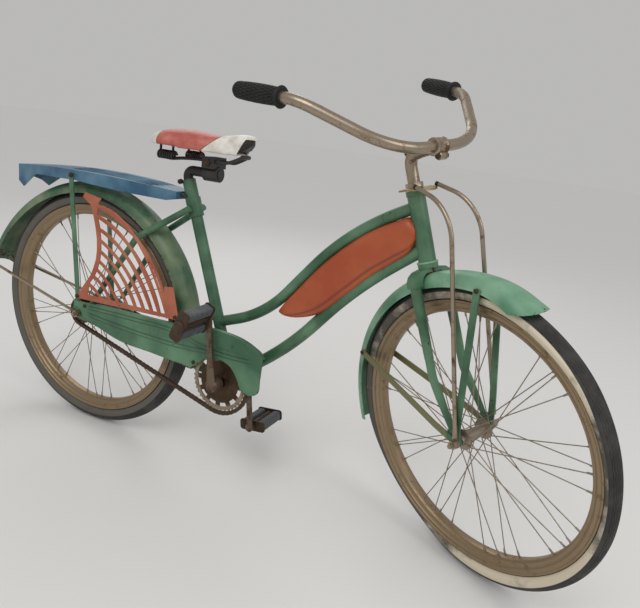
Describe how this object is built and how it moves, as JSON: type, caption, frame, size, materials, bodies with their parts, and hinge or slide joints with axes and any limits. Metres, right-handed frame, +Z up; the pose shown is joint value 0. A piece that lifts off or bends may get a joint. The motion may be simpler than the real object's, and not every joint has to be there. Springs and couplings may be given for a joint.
{
  "type": "balloon-tyre bicycle",
  "caption": "Step-through balloon-tyre bicycle, worn green and orange, with tank, skirt guard, chain guard, rear rack and truss fork; wheels, cranks, pedals and steering turn.",
  "frame": {"origin": "on top of the saddle, in the frame's middle plane, 300 mm ahead of the rear axle", "axes": "+X forward, +Y to the rider's left, +Z up; the ground is 842 mm below the origin"},
  "size_m": [1.7646, 0.5328, 1.0328],
  "materials": {
    "green_paint": "chipped, dusty green enamel with rust",
    "rusty_steel": "plating gone dull and rusty",
    "tan_rim": "tan, rusty and dirty",
    "orange_paint": "faded orange-red enamel",
    "blue_paint": "blue enamel worn pale on top",
    "black_steel": "black, greasy",
    "red_vinyl": "red and white vinyl cover",
    "black_rubber": "moulded, perished",
    "tyre": "worn balloon tyre"
  },
  "bodies": {
    "frame": {"head_tube": "green_paint", "headset_cups": "green_paint", "upper_tube": "green_paint", "lower_tube": "green_paint", "seat_tube": "green_paint", "bottom_bracket_shell": "green_paint", "chain_stays": "green_paint", "seat_stays": "green_paint", "tank": "orange_paint", "rear_fender": "green_paint", "rear_fender_braces": "rusty_steel", "rear_axle": "rusty_steel", "brake_arm": "rusty_steel", "rack": "blue_paint", "rack_struts": "green_paint", "rack_bracket": "black_steel", "skirt_guard_right": "orange_paint", "chain_guard": "green_paint", "chain": "rusty_steel", "seat_post": "black_steel", "saddle_clamp": "black_steel", "saddle_frame": "black_steel", "saddle_top": "red_vinyl"},
    "fork": {"fork": "green_paint", "front_axle": "rusty_steel", "front_fender": "green_paint", "front_fender_braces": "green_paint", "truss_rods": "rusty_steel", "truss_plate": "rusty_steel", "headset_nut": "rusty_steel", "stem": "rusty_steel", "handlebar": "rusty_steel", "grips": "black_rubber"},
    "front_wheel": {"front_tyre": "tyre", "front_rim": "tan_rim", "front_hub": "rusty_steel"},
    "rear_wheel": {"rear_tyre": "tyre", "rear_rim": "tan_rim", "rear_hub": "rusty_steel"},
    "crank": {"crank": "rusty_steel", "chainring": "rusty_steel"},
    "rear_sprocket": {"rear_sprocket": "rusty_steel"},
    "pedal_right": {"pedal_right": "rusty_steel", "pedal_blocks_right": "black_rubber"},
    "pedal_left": {"pedal_left": "rusty_steel", "pedal_blocks_left": "black_rubber"}
  },
  "joints": [
    {"name": "steer", "type": "hinge", "parent": "frame", "child": "fork", "pos_m": [0.73512, 0, -0.53486], "axis": [-0.3468, 0, 0.9379], "range_deg": [-52.8, 107.2]},
    {"name": "front_wheel_spin", "type": "hinge", "parent": "fork", "child": "front_wheel", "pos_m": [0.77432, -0.02148, -0.52037], "axis": [0.4287, 0.8894, 0.1585], "continuous": true},
    {"name": "rear_wheel_spin", "type": "hinge", "parent": "frame", "child": "rear_wheel", "pos_m": [-0.2938, 0, -0.51656], "axis": [0, 1, 0], "continuous": true},
    {"name": "crank_spin", "type": "hinge", "parent": "frame", "child": "crank", "pos_m": [0.16402, 0, -0.58205], "axis": [0, 1, 0], "continuous": true},
    {"name": "sprocket_spin", "type": "hinge", "parent": "frame", "child": "rear_sprocket", "pos_m": [-0.2938, 0, -0.51656], "axis": [0, 1, 0], "continuous": true},
    {"name": "pedal_right_spin", "type": "hinge", "parent": "crank", "child": "pedal_right", "pos_m": [0.13996, -0.14, -0.41276], "axis": [0, 1, 0], "continuous": true},
    {"name": "pedal_left_spin", "type": "hinge", "parent": "crank", "child": "pedal_left", "pos_m": [0.18809, 0.14, -0.75135], "axis": [0, 1, 0], "continuous": true}
  ],
  "couplings": [
    {"joint": "sprocket_spin", "follows": "crank_spin", "ratio": 2.2222}
  ]
}
